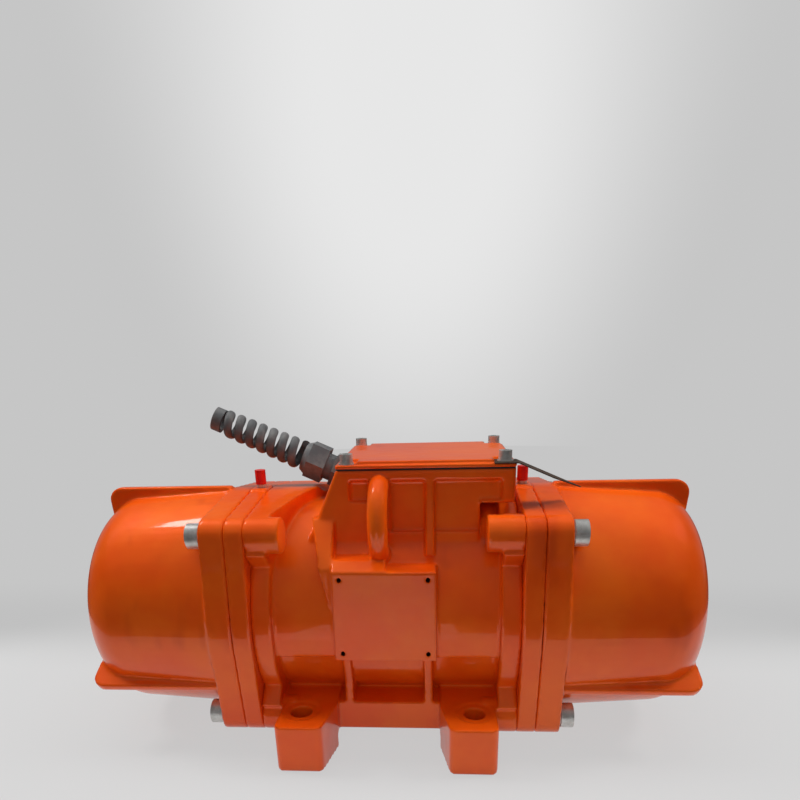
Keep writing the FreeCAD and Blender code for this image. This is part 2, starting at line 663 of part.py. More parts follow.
def bearing_shield():
    plate = lobed_plate("shield_plate", "barrel_half", "shield_thick")
    hub = cylinder("shield_hub", "hub_radius", "hub_outer - hub_inner", ("hub_inner", "0", "0"))
    spigot = ring("shield_spigot", "barrel_bore - spigot_gap",
                  "barrel_bore - spigot_gap - spigot_wall", "spigot_depth + 1",
                  ("barrel_half - spigot_depth", "0", "0"))
    boss = prism("grease_boss", "yz",
                 [("-3 * grease_half", "grease_top - 2 * lobe_radius"),
                  ("-1 * grease_half", "grease_top"), ("grease_half", "grease_top"),
                  ("3 * grease_half", "grease_top - 2 * lobe_radius")],
                 "shield_thick", "barrel_half")
    body = fuse("shield_body", [plate, hub, spigot, boss])
    seat = cylinder("bearing_seat", "bearing_outer / 2", "hub_outer - bearing_start + 1",
                    ("bearing_start", "0", "0"))
    neck = cylinder("shaft_neck", "shaft_radius + neck_gap", "hub_outer - hub_inner + 2",
                    ("hub_inner - 1", "0", "0"))
    middle = "barrel_half + shield_thick / 2"
    channel = cylinder("grease_channel", "nipple_thread / 3", "grease_top",
                       (middle, "0", "bearing_outer / 2 - 2"), "z")
    tapped = cylinder("nipple_tap", "nipple_thread / 2 + thread_gap", "2 * nipple_thread",
                      (middle, "0", "grease_top - nipple_thread"), "z")
    holes = at_corners("shield_hole", "cover_bolt / 2 + bolt_clearance", "shield_thick + 2",
                       "barrel_half - 1")
    screws = screw_circle("cap_tap", "cap_screw / 2 + thread_gap", "cap_tap_depth",
                          "hub_outer - cap_tap_depth + 1")
    both_sides("bearing_shield",
               cut("shield", body, [seat, neck, channel, tapped] + holes + screws))


def screw_circle(name, radius, length, start):
    """Four cylinders on the screw circle of the bearing cap."""
    pieces = []
    for number, (across, rise) in enumerate(((1, 0), (0, 1), (-1, 0), (0, -1)), start=1):
        at = (start, "%d * cap_screw_pitch / 2" % across, "%d * cap_screw_pitch / 2" % rise)
        pieces.append(cylinder("%s_%d" % (name, number), radius, length, at))
    return pieces


bearing_shield()


# ---------------------------------------------------------- weight covers
# A deep cap over each pair of weights: a rounded-square flange, a slightly
# tapered barrel with a domed end and three thin ribs that run over its edge.

def cover_profile(body, name, inset, start):
    """Half section of the cap, drawn above the shaft axis."""
    sag = "cover_end - cover_corner"
    edge = "cover_end_radius - %s" % inset
    reach = "( ( %s ) * ( %s ) + ( %s ) * ( %s ) ) / ( 2 * ( %s ) )" % (edge, edge, sag, sag, sag)
    points = [(start, "0"), (start, "cover_radius - %s" % inset),
              ("cover_corner - %s" % inset, edge), ("cover_end - %s" % inset, "0")]
    return outline(body, "xz", name, points, "0", {2: (reach, 1)})


def weight_cover():
    body = lobed_plate("cover", "barrel_half + shield_thick", "cover_flange")
    shell = cover_profile(body, "cover_outside", "0", "barrel_half + shield_thick")
    spin(body, "Revolution", shell, "cover_cap")
    round_end(body, "cover_round", "cover_end_radius", "cover_corner", "cover_round")
    fin = outline(body, "xz", "rib_outline",
                  [("barrel_half + shield_thick + cover_flange - 1", "cover_end_radius - 4"),
                   ("barrel_half + shield_thick + cover_flange - 1", "rib_radius"),
                   ("rib_end - rib_round", "rib_radius"),
                   ("rib_end", "rib_radius - rib_round"),
                   ("rib_end - 2", "cover_end_radius - rib_reach"),
                   ("rib_end - cover_round", "cover_end_radius - rib_reach")], "0",
                  {2: ("rib_round", 1)})
    rib = body.newObject("PartDesign::Pad", "cover_rib")
    rib.Profile = fin
    bind(rib, "Length", "Sizes.rib_thick")
    rib.Midplane = True
    ribs = body.newObject("PartDesign::PolarPattern", "cover_ribs")
    ribs.Originals = [rib]
    ribs.Axis = (fin, ["H_Axis"])
    ribs.Angle = 360
    ribs.Occurrences = 3
    body.Tip = ribs
    core = doc.addObject("PartDesign::Body", "cover_core")
    hollow = cover_profile(core, "cover_inside", "cover_wall", "barrel_half + shield_thick - 1")
    spin(core, "Revolution", hollow, "cover_hollow")
    round_end(core, "cover_hollow_round", "cover_end_radius - cover_wall",
              "cover_corner - cover_wall", "cover_round - cover_wall")
    groove = ring("seal_groove", "seal_radius", "seal_radius - seal_bar", "seal_bar * 0.85",
                  ("barrel_half + shield_thick", "0", "0"))
    holes = at_corners("cover_hole", "cover_bolt / 2 + bolt_clearance", "cover_flange + 2",
                       "barrel_half + shield_thick - 1")
    both_sides("weight_cover", cut("cover_bored", body, [core, groove] + holes))


def number_of(words):
    """The present value of an expression over the sheet."""
    value = sheet.evalExpression(words)
    return float(getattr(value, "Value", value))


def round_end(body, name, radius, along, amount):
    """Round the circle where the cap's side meets its domed end."""
    doc.recompute()
    picked = []
    for number, edge in enumerate(body.Shape.Edges, start=1):
        span = edge.BoundBox
        flat = span.XLength < 0.01 and abs(span.Center.x - number_of(along)) < 0.01
        if flat and abs(span.YLength / 2 - number_of(radius)) < 0.01:
            picked.append("Edge%d" % number)
    base = body.Tip
    feature = body.newObject("PartDesign::Fillet", name)
    feature.Base = (base, picked)
    bind(feature, "Radius", named(amount))
    body.Tip = feature


weight_cover()


def cover_seal():
    bar = doc.addObject("Part::Torus", "seal_round")
    bind(bar, "Radius1", "Sizes.seal_radius - Sizes.seal_bar / 2")
    bind(bar, "Radius2", "Sizes.seal_bar * 0.42")
    place(bar, ("barrel_half + shield_thick + seal_bar * 0.42", "0", "0"), AXIS_TURN["x"])
    both_sides("cover_seal", bar)


def socket_screw(name, thread, under, tip, at_y, at_z):
    """A socket head cap screw along X with its head at the +X end."""
    head = cylinder(name + "_head", thread, thread, (under, at_y, at_z))
    shank = cylinder(name + "_shank", thread + " / 2", "( %s ) - ( %s )" % (under, tip),
                     (tip, at_y, at_z))
    socket = hexagon(name + "_socket", thread + " * 0.8", thread,
                     ("( %s ) + %s / 2" % (under, thread), at_y, at_z), "x")
    return cut(name, fuse(name + "_blank", [head, shank]), [socket])


def cover_bolts():
    bolts = []
    washers = []
    face = "barrel_half + shield_thick + cover_flange"
    for number, (side, rise) in enumerate(((1, 1), (-1, 1), (-1, -1), (1, -1)), start=1):
        at = ("%d * bolt_offset" % side, "%d * bolt_offset" % rise)
        bolts.append(socket_screw("cover_bolt_%d" % number, "cover_bolt",
                                  face + " + washer_thick", "barrel_half - boss_length + 5",
                                  at[0], at[1]))
        washers.append(ring("cover_washer_%d" % number, "cover_bolt * 0.85",
                            "cover_bolt / 2 + 0.2", "washer_thick", (face, at[0], at[1])))
    both_sides("cover_bolts", group("cover_bolt_set", bolts))
    both_sides("cover_washers", group("cover_washer_set", washers))


cover_seal()
cover_bolts()


# -------------------------------------------------- bearings and their caps

def roller_bearing():
    start = "bearing_start"
    half_ring = "( bearing_width - roller_length ) / 2"
    outer = ring("outer_race", "bearing_outer / 2", "roller_pitch / 2 + roller / 2 + bearing_play",
                 "bearing_width", (start, "0", "0"))
    both_sides("bearing_outer_ring", outer)
    inner = ring("inner_race", "roller_pitch / 2 - roller / 2 - bearing_play",
                 "bearing_inner / 2", "bearing_width", (start, "0", "0"))
    both_sides("bearing_inner_ring", inner)
    cage = ring("cage_ring", "roller_pitch / 2 + roller / 4", "roller_pitch / 2 - roller / 4",
                "roller_length + 6", (start + " + " + half_ring + " - 3", "0", "0"))
    rollers = []
    pockets = []
    count = int(size("roller_count"))
    for number in range(count):
        turn = "%d * 360 / roller_count * 1 deg" % number
        across = "roller_pitch / 2 * cos( %s )" % turn
        rise = "roller_pitch / 2 * sin( %s )" % turn
        rollers.append(cylinder("roller_%d" % number, "roller / 2", "roller_length",
                                (start + " + " + half_ring, across, rise)))
        pockets.append(cylinder("pocket_%d" % number, "roller / 2 + 0.1", "roller_length + 0.4",
                                (start + " + " + half_ring + " - 0.2", across, rise)))
    both_sides("bearing_rollers", group("roller_set", rollers))
    both_sides("bearing_cage", cut("cage", cage, pockets))


def bearing_cap():
    lip = ring("cap_lip", "hub_radius", "weight_seat / 2 + neck_gap", "cap_thick",
               ("hub_outer", "0", "0"))
    nose = ring("cap_nose", "bearing_outer / 2 - 0.1", "bearing_outer / 2 - 5",
                "hub_outer - bearing_start - bearing_width + 1",
                ("bearing_start + bearing_width", "0", "0"))
    sunk = screw_circle("cap_sink", "cap_screw + 0.4", "cap_thick",
                        "hub_outer + cap_thick - cap_screw - 0.5")
    holes = screw_circle("cap_hole", "cap_screw / 2 + 0.3", "cap_thick + 2", "hub_outer - 1")
    both_sides("bearing_cap", cut("cap", fuse("cap_blank", [lip, nose]), sunk + holes))
    screws = []
    for number, (across, rise) in enumerate(((1, 0), (0, 1), (-1, 0), (0, -1)), start=1):
        screws.append(socket_screw("cap_screw_%d" % number, "cap_screw",
                                   "hub_outer + cap_thick - cap_screw - 0.5", "hub_outer - 11",
                                   "%d * cap_screw_pitch / 2" % across,
                                   "%d * cap_screw_pitch / 2" % rise))
    both_sides("bearing_cap_screws", group("cap_screw_set", screws))


roller_bearing()
bearing_cap()


# ------------------------------------------------------- stator and rotor

def stator():
    core = ring("stack", "barrel_bore", "stator_bore", "2 * stack_half",
                ("-1 * stack_half", "0", "0"))
    node("stator_core", core)
    heads = []
    for side in SIDES:
        word = "right" if side > 0 else "left"
        start = "stack_half" if side > 0 else "-1 * stack_half - winding_length"
        head = ring("coil_head_" + word, "winding_outer", "winding_inner", "winding_length",
                    (start, "0", "0"))
        heads.append(fillet("coil_round_" + word, head, "box_corner", coil_rim))
    node("stator_winding", group("winding_heads", heads))


def coil_rim(edge):
    """The outer circles of a coil head, away from the stack."""
    span = edge.BoundBox
    far = abs(span.Center.x) > size("stack_half") + size("winding_length") / 2
    return far and span.XLength < 0.01 and span.YLength > size("winding_inner")


def rotor():
    """The shaft with its steps, keyways and clip grooves, drawn as one turned
    piece; the cage rotor is pressed on its middle."""
    body = doc.addObject("PartDesign::Body", "shaft_body")
    clip = "weight_start + 2 * weight_thick + weight_gap + ring_thick"
    steps = [("shaft_shoulder", "shaft_radius"), ("bearing_start", "shaft_radius - 0.5"),
             ("bearing_start + bearing_width + 1", "bearing_inner / 2"),
             (clip, "weight_seat / 2"),
             (clip + " + ring_thick", "weight_seat / 2 - ring_thick / 2"),
             ("shaft_end - 1.5", "weight_seat / 2")]
    upper = []
    last = "0"
    for along, radius in steps:
        upper.append((last, radius))
        upper.append((along, radius))
        last = along
    upper.append(("shaft_end", "weight_seat / 2 - 1.5"))
    right = upper[1:]
    left = [("-1 * ( %s )" % along, radius) for along, radius in reversed(right)]
    points = [("-1 * shaft_end", "0")] + left + right + [("shaft_end", "0")]
    section = outline(body, "xz", "shaft_section", points)
    spin(body, "Revolution", section, "shaft_turned")
    keyways = []
    for side in SIDES:
        start = "weight_start" if side > 0 else "-1 * weight_start - weight_thick"
        keyways.append(box("keyway_%d" % (side + 1), ("weight_thick", "key_width", "key_tall"),
                           (start, "-1 * key_width / 2", "weight_seat / 2 - key_sunk")))
    node("rotor_shaft", cut("shaft", body, keyways))
    stack = ring("rotor_stack", "stator_bore - air_gap", "shaft_radius", "2 * stack_half",
                 ("-1 * stack_half", "0", "0"))
    ends = [ring("cage_end_right", "end_ring_outer", "end_ring_inner", "end_ring",
                 ("stack_half", "0", "0")),
            ring("cage_end_left", "end_ring_outer", "end_ring_inner", "end_ring",
                 ("-1 * stack_half - end_ring", "0", "0"))]
    node("rotor_core", fuse("rotor_pack", [stack] + ends))


stator()
rotor()


# ------------------------------------------------------ eccentric weights
# Half discs on each shaft end: the inner one is keyed, the outer one is
# clamped by a bolt across a slit so that it can be turned to set the force.

def half_disc(name, start):
    full = cylinder(name + "_full", "weight_radius", "weight_thick", (start, "0", "0"))
    lower = box(name + "_lower", ("weight_thick", "2 * weight_radius", "weight_radius"),
                (start, "-1 * weight_radius", "-1 * weight_radius"))
    hub = cylinder(name + "_hub", "weight_hub", "weight_thick", (start, "0", "0"))
    return [common(name, [full, lower]), hub]


def weights():
    inner_start = "weight_start"
    outer_start = "weight_start + weight_thick + weight_gap"
    bore = cylinder("inner_weight_bore", "weight_seat / 2 + bore_gap", "weight_thick + 2",
                    (inner_start + " - 1", "0", "0"))
    slot = box("inner_key_slot", ("weight_thick + 2", "key_width", "key_tall + 0.4"),
               (inner_start + " - 1", "-1 * key_width / 2", "weight_seat / 2 - key_sunk"))
    inner = cut("inner_weight", fuse("inner_disc_all", half_disc("inner_disc", inner_start)),
                [bore, slot])
    both_sides("inner_weight", inner)
    both_sides("weight_key", box("key_bar", ("weight_thick", "key_width", "key_tall"),
                                 (inner_start, "-1 * key_width / 2",
                                  "weight_seat / 2 - key_sunk")))
    ears = box("clamp_ears", ("weight_thick", "2 * clamp_half", "clamp_top"),
               (outer_start, "-1 * clamp_half", "0"))
    bore = cylinder("outer_weight_bore", "weight_seat / 2 + bore_gap", "weight_thick + 2",
                    (outer_start + " - 1", "0", "0"))
    slit = box("clamp_cut", ("weight_thick + 2", "clamp_slit", "clamp_top + 1"),
               (outer_start + " - 1", "-1 * clamp_slit / 2", "0"))
    middle = outer_start + " + weight_thick / 2"
    across = cylinder("clamp_hole", "clamp_bolt / 2 + thread_gap", "2 * clamp_half + 2",
                      (middle, "-1 * clamp_half - 1", "clamp_bolt_at"), "y")
    outer = cut("outer_weight", fuse("outer_disc_all", half_disc("outer_disc", outer_start) + [ears]),
                [bore, slit, across])
    both_sides("outer_weight", outer)
    head = hexagon("clamp_head", "clamp_bolt * 1.5", "clamp_bolt * 0.6",
                   (middle, "clamp_half", "clamp_bolt_at"), "y")
    shank = cylinder("clamp_shank", "clamp_bolt / 2", "2 * clamp_half + clamp_bolt / 2",
                     (middle, "-1 * clamp_half - clamp_bolt / 2", "clamp_bolt_at"), "y")
    both_sides("clamp_bolt", fuse("clamp_bolt_all", [head, shank]))
    clip_start = "weight_start + 2 * weight_thick + weight_gap"
    both_sides("weight_washer", ring("stop_washer", "weight_hub - 4", "weight_seat / 2 + bore_gap",
                                     "ring_thick - 0.2", (clip_start + " + 0.1", "0", "0")))
    both_sides("shaft_circlip", ring("stop_clip", "weight_seat / 2 + 2.5",
                                     "weight_seat / 2 - ring_thick / 2 + bore_gap",
                                     "ring_thick - 0.1",
                                     (clip_start + " + ring_thick + 0.05", "0", "0")))


weights()


# ------------------------------------------------ terminal lid and inside

def lid_plan(name, half_x, half_y, thick, bottom):
    """A rounded plate over the terminal box."""
    plate = centred_box(name, ("2 * ( %s )" % half_x, "2 * ( %s )" % half_y, thick),
                        ("box_centre", "0", "( %s ) + ( %s ) / 2" % (bottom, thick)))
    return fillet(name + "_round", plate, "box_edge", upright_edge)


def upright_edge(edge):
    """An edge that stands straight up."""
    span = edge.BoundBox
    return span.XLength < 0.01 and span.YLength < 0.01


def lid_screw(number, side, depth, top):
    """A lid screw with its flat and spring washers, standing on a height."""
    at_x = "box_centre + %d * lid_bolt_x" % side
    at_y = "%d * lid_bolt_y" % depth
    under = top + " + washer_thick * 1.5"
    head = cylinder("lid_head_%d" % number, "lid_bolt * 0.83", "lid_bolt * 0.9",
                    (at_x, at_y, under), "z")
    shank = cylinder("lid_shank_%d" % number, "lid_bolt / 2", "lid_screw_length",
                     (at_x, at_y, under + " - lid_screw_length"), "z")
    socket = hexagon("lid_socket_%d" % number, "lid_bolt * 0.8", "lid_bolt",
                     (at_x, at_y, under + " + lid_bolt / 2"), "z")
    screw = cut("lid_bolt_%d" % number, fuse("lid_bolt_blank_%d" % number, [head, shank]), [socket])
    flat = ring("lid_flat_%d" % number, "lid_bolt", "lid_bolt / 2 + 0.2", "washer_thick / 2",
                (at_x, at_y, top), "z")
    spring = ring("lid_spring_%d" % number, "lid_bolt * 0.86", "lid_bolt / 2 + 0.2",
                  "washer_thick", (at_x, at_y, top + " + washer_thick / 2"), "z")
    return screw, [flat, spring]


def lid_hole(name, number, side, depth, start, length):
    """A hole through a plate for one lid screw."""
    return cylinder("%s_%d" % (name, number), "lid_bolt / 2 + 0.4", length,
                    ("box_centre + %d * lid_bolt_x" % side, "%d * lid_bolt_y" % depth, start), "z")


CORNERS = ((1, 1), (-1, 1), (-1, -1), (1, -1))


def terminal_lid():
    lid_bottom = "box_top + gasket_thick"
    top = "box_top + gasket_thick + lid_thick"
    plate = lid_plan("lid_plate", "lid_half_x", "lid_half_y", "lid_thick", lid_bottom)
    plateau = lid_plan("lid_raised", "lid_half_x - lid_plateau_edge",
                       "lid_half_y - lid_plateau_edge", "lid_plateau + 1", top + " - 1")
    tools = []
    gasket_holes = []
    bolts = []
    washers = []
    for number, (side, depth) in enumerate(CORNERS, start=1):
        tools.append(lid_hole("lid_hole", number, side, depth, lid_bottom + " - 1", "lid_thick + 2"))
        gasket_holes.append(lid_hole("gasket_hole", number, side, depth, "box_top - 1",
                                     "gasket_thick + 2"))
        tools.append(centred_box("lid_land_%d" % number,
                                 ("4 * lid_corner_land", "4 * lid_corner_land", "2 * lid_plateau"),
                                 ("box_centre + %d * ( lid_bolt_x + lid_corner_land )" % side,
                                  "%d * ( lid_bolt_y + lid_corner_land )" % depth,
                                  top + " + lid_plateau")))
        raised = top + " + tag_thick" if (side, depth) == CORNERS[3] else top
        screw, pair = lid_screw(number, side, depth, raised)
        bolts.append(screw)
        washers += pair
    node("terminal_lid", cut("lid", fuse("lid_blank", [plate, plateau]), tools))
    sheet_of_rubber = lid_plan("gasket_plate", "box_half_x - lid_lip", "box_half_y - lid_lip",
                               "gasket_thick", "box_top")
    opening = centred_box("gasket_opening",
                          ("2 * ( lid_bolt_x - lid_corner_land )",
                           "2 * ( lid_bolt_y - lid_corner_land )", "gasket_thick + 2"),
                          ("box_centre", "0", "box_top + gasket_thick / 2"))
    node("lid_gasket", cut("gasket", sheet_of_rubber, [opening] + gasket_holes))
    node("lid_bolts", group("lid_bolt_set", bolts))
    node("lid_washers", group("lid_washer_set", washers))


def hang_tag():
    """A blank sheet tag held by the front right lid screw; it is bent down
    over the right flange and its end is cut off at a slant."""
    top = "box_top + gasket_thick + lid_thick"
    start = "box_centre + lid_bolt_x - lid_corner_land"
    strip = prism("tag_strip", "xz",
                  [(start, top), (start, top + " + tag_thick"),
                   ("tag_bend", top + " + tag_thick"),
                   ("tag_end", top + " + tag_thick - tag_fall"), ("tag_end", top + " - tag_fall"),
                   ("tag_bend", top)],
                  "tag_front - tag_back", "-1 * tag_front")
    plan = prism("tag_plan", "xy",
                 [(start, "-1 * tag_front"), ("tag_nose", "-1 * tag_front"),
                  ("tag_end", "-1 * tag_back"), (start, "-1 * tag_back")],
                 "2 * tag_fall", "box_top - tag_fall")
    hole = lid_hole("tag_hole", 1, CORNERS[3][0], CORNERS[3][1], top + " - 1", "tag_thick + 2")
    node("hang_tag", cut("tag", common("tag_blank", [strip, plan]), [hole]))


def terminals():
    middle = "( box_low_end - box_wall - block_gap - block_long / 2 )"
    node("terminal_block", centred_box("block_base", ("block_long", "block_wide", "block_tall"),
                                       (middle, "0", "box_floor + block_tall / 2")))
    studs = []
    for column in (-1, 0, 1):
        for row in SIDES:
            at = (middle + " + %d * stud_pitch_x" % column, "%d * stud_pitch_y / 2" % row,
                  "box_floor + block_tall")
            name = "stud_%d_%d" % (column + 1, row + 1)
            pin_now = cylinder(name + "_pin", "stud / 2", "stud_tall", at, "z")
            nut = hexagon(name + "_nut", "stud_nut", "stud_nut / 2", at, "z")
            studs.append(fuse(name, [pin_now, nut]))
    node("terminal_studs", group("stud_set", studs))
    screw_at = ("box_centre - earth_back", "-1 * earth_back", "box_floor")
    node("earth_screw", fuse("earth", [hexagon("earth_hex", "earth_head", "earth_head / 2",
                                               screw_at, "z"),
                                       cylinder("earth_washer", "earth_disc", "washer_thick",
                                                screw_at, "z")]))


terminal_lid()
hang_tag()
terminals()


# -------------------------------------------------------------- cable gland
# A plastic gland that stands square on the leaning wall: a hexagonal body, a
# lock nut inside the box, a rubber seal and a nut with a long open spiral that
# keeps a cable from kinking.

FLAT_UP = 30.0


def gland_node(label, thing, along="0"):
    """Stand a finished gland piece on the wall and name it."""
    node(label, gland_place(thing, along))


def cable_gland():
    body = fuse("gland_blank",
                [cylinder("gland_thread_in", "gland_thread / 2", "box_wall + gland_stub",
                          ("0", "0", "-1 * box_wall - gland_stub"), "z"),
                 hexagon("gland_collar_hex", "gland_hex", "gland_collar", ("0", "0", "0"), "z",
                         FLAT_UP),
                 cylinder("gland_thread_out", "gland_thread / 2 - 1", "nut_gap + nut_length / 2",
                          ("0", "0", "gland_collar"), "z")])
    bore = cylinder("gland_through", "gland_bore / 2", "3 * nut_length",
                    ("0", "0", "-1 * nut_length"), "z")
    gland_node("gland_body", cut("gland", body, [bore]))
    lock_start = "-1 * box_wall - lock_gap - lock_thick"
    lock = cut("lock_nut", hexagon("lock_hex", "gland_hex", "lock_thick", ("0", "0", lock_start), "z"),
               [cylinder("lock_bore", "gland_thread / 2 + thread_gap", "lock_thick + 2",
                         ("0", "0", lock_start + " - 1"), "z")])
    gland_node("gland_locknut", lock)
    nut_start = "gland_collar + nut_gap"
    seal_start = nut_start + " + nut_length / 2 + seal_gap"
    gland_node("gland_seal", ring("seal_sleeve", "gland_thread / 2 - 2", "gland_bore / 2 - 1",
                                  "seal_length", ("0", "0", seal_start), "z"))
    nut = hexagon("nut_hex", "nut_flats", "nut_length - nut_dome", ("0", "0", nut_start), "z",
                  FLAT_UP)
    dome = doc.addObject("Part::Cone", "nut_dome_cone")
    bind(dome, "Radius1", "Sizes.nut_flats / 2")
    bind(dome, "Radius2", "Sizes.spiral_radius + Sizes.spiral_bar / 2")
    bind(dome, "Height", "Sizes.nut_dome")
    place(dome, ("0", "0", nut_start + " + nut_length - nut_dome"))
    inside = cylinder("nut_inside", "gland_thread / 2 - 1 + thread_gap",
                      "nut_length / 2 + seal_length + 2 * seal_gap + 1",
                      ("0", "0", nut_start + " - 1"), "z")
    through = cylinder("nut_through", "gland_bore / 2", "3 * nut_length", ("0", "0", "0"), "z")
    shell = cut("nut_shell", fuse("nut_blank", [nut, dome]), [inside, through])
    spiral_start = nut_start + " + nut_length"
    coil = spiral("spiral", spiral_start)
    sleeve = ring("spiral_sleeve", "sleeve_radius", "spiral_tip_radius - spiral_bar / 2",
                  "sleeve_length", ("0", "0", spiral_start + " + spiral_length"), "z")
    gland_node("gland_spiral_nut", fuse("spiral_nut", [shell, coil, sleeve]))


def spiral(name, start):
    """The tapering helix of the bend protector."""
    path = doc.addObject("Part::Helix", name + "_path")
    bind(path, "Pitch", "Sizes.spiral_pitch")
    bind(path, "Height", "Sizes.spiral_length - Sizes.spiral_wide")
    bind(path, "Radius", "Sizes.spiral_radius")
    bind(path, "Angle", "-1 * atan((Sizes.spiral_radius - Sizes.spiral_tip_radius) / Sizes.spiral_length)")
    bar = doc.addObject("Part::Ellipse", name + "_section")
    bind(bar, "MajorRadius", "Sizes.spiral_wide")
    bind(bar, "MinorRadius", "Sizes.spiral_bar")
    upright = FreeCAD.Rotation(FreeCAD.Vector(0, 0, 1), FreeCAD.Vector(1, 0, 0),
                               FreeCAD.Vector(0, 1, 0), "XYZ")
    place(bar, ("spiral_radius", "0", "0"), upright)
    sweep = doc.addObject("Part::Sweep", name)
    sweep.Sections = [bar]
    sweep.Spine = path
    sweep.Solid = True
    sweep.Frenet = True
    return place(sweep, ("0", "0", start + " + spiral_wide / 2"))


cable_gland()


# ----------------------------------------------------------- grease nipples
# A straight nipple on top of each shield under a pull-off plastic cap.

def grease_nipple():
    middle = "barrel_half + shield_thick / 2"
    thread = cylinder("nipple_thread_part", "nipple_thread / 2", "nipple_thread",
                      (middle, "0", "grease_top - nipple_thread"), "z")
    base = hexagon("nipple_hex_part", "nipple_hex", "nipple_hex_tall", (middle, "0", "grease_top"),
                   "z")
    stem = cylinder("nipple_stem_part", "nipple_head * 0.7", "nipple_stem",
                    (middle, "0", "grease_top"), "z")
    head = cylinder("nipple_head_part", "nipple_head", "nipple_stem / 2",
                    (middle, "0", "grease_top + nipple_hex_tall + nipple_stem / 2"), "z")
    both_sides("grease_nipple", fuse("nipple", [thread, base, stem, head]))
    cap_start = "grease_top + nipple_hex_tall + grease_cap_gap"
    shell = cylinder("grease_cap_shell", "grease_cap / 2", "grease_cap_tall",
                     (middle, "0", cap_start), "z")
    hollow = cylinder("grease_cap_hollow", "nipple_head + grease_cap_gap", "grease_cap_tall - 2",
                      (middle, "0", cap_start + " - 1"), "z")
    both_sides("grease_cap", cut("nipple_cap", shell, [hollow]))


grease_nipple()


def finish():
    doc.recompute()
    bad = [thing.Label + ": " + thing.getStatusString() for thing in doc.Objects
           if "Invalid" in thing.State or "Error" in thing.State]
    if bad:
        raise RuntimeError("did not compute: " + "; ".join(bad))
    for label, thing in NODES.items():
        if thing.Shape.isNull() or not thing.Shape.isValid():
            raise RuntimeError("%s has no valid shape" % label)
    os.makedirs("parts", exist_ok=True)
    for label, thing in NODES.items():
        thing.Shape.exportStep("parts/%s.step" % label)


finish()
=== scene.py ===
import math
import bmesh
import bpy
from mathutils import Matrix, Vector


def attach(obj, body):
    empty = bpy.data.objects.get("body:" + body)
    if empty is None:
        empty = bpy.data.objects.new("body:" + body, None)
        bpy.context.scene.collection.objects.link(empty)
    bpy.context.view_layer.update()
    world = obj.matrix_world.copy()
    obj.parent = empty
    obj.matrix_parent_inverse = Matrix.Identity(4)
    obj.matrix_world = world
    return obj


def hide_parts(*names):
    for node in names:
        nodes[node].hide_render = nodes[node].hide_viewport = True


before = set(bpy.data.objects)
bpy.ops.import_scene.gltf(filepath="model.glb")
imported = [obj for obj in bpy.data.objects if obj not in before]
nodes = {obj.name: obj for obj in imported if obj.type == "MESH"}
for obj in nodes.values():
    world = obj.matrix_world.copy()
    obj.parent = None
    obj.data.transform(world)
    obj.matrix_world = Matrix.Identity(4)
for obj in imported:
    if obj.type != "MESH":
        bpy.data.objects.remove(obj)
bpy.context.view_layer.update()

scene = bpy.context.scene

# ---------------------------------------------------------------- standpoint
# The motor is seen from a little above and just right of its middle, with a
# wide lens held close, so that the covers fall away on both sides.

yaw, pitch, roll = (math.radians(angle) for angle in (-4.6, 20.5, -1.7))
forward = Vector((math.sin(yaw) * math.cos(pitch), math.cos(yaw) * math.cos(pitch), -math.sin(pitch)))
level = Vector((math.cos(yaw), -math.sin(yaw), 0.0))
upright = level.cross(forward)
across = level * math.cos(roll) + upright * math.sin(roll)
upward = upright * math.cos(roll) - level * math.sin(roll)
standpoint = Vector((0.0408, -0.5268, 0.3026))

lens = bpy.data.cameras.new("standpoint")
lens.sensor_width = 36.0
lens.lens = 27.8
lens.shift_x = 0.011
lens.shift_y = 0.243
lens.clip_start = 0.01
camera = bpy.data.objects.new("standpoint", lens)
view_axes = Matrix((across, upward, -forward)).transposed().to_4x4()
camera.matrix_world = Matrix.Translation(standpoint) @ view_axes
scene.collection.objects.link(camera)
scene.camera = camera

# -------------------------------------------------------------- orange castings
# Housing, shields, covers and lid are iron castings under a thick coat of
# glossy orange enamel, brushed or dipped on, so that it pools in the corners,
# runs down the walls and rounds every edge.


class Field:
    """A socket that adds up, multiplies and so on like a number."""

    def __init__(self, bench, socket):
        self.bench = bench
        self.socket = socket

    def _math(self, operation, *terms):
        return self.bench.add("ShaderNodeMath", {"operation": operation}, dict(enumerate(terms)))

    def __add__(self, other):
        return self._math("ADD", self, other)

    def __radd__(self, other):
        return self._math("ADD", other, self)

    def __sub__(self, other):
        return self._math("SUBTRACT", self, other)

    def __rsub__(self, other):
        return self._math("SUBTRACT", other, self)

    def __mul__(self, other):
        return self._math("MULTIPLY", self, other)

    def __rmul__(self, other):
        return self._math("MULTIPLY", other, self)

    def between(self, low, high):
        """0 below low, 1 above high and a smooth step from one to the other."""
        settings = {"interpolation_type": "SMOOTHSTEP", "clamp": True}
        ends = {"Value": self, "From Min": low, "From Max": high}
        return self.bench.add("ShaderNodeMapRange", settings, ends)


class Bench:
    """A node tree that shader nodes are added to one by one."""

    def __init__(self, tree):
        self.tree = tree

    def add(self, kind, settings, links, output=0):
        node = self.tree.nodes.new(kind)
        for name, value in settings.items():
            setattr(node, name, value)
        for name, value in links.items():
            socket = node.inputs[name]
            if isinstance(value, Field):
                self.tree.links.new(value.socket, socket)
            else:
                socket.default_value = value
        return Field(self, node.outputs[output])

    def mix(self, share, first, second):
        links = {"Factor": share, 6: first, 7: second}
        return self.add("ShaderNodeMix", {"data_type": "RGBA"}, links, 2)


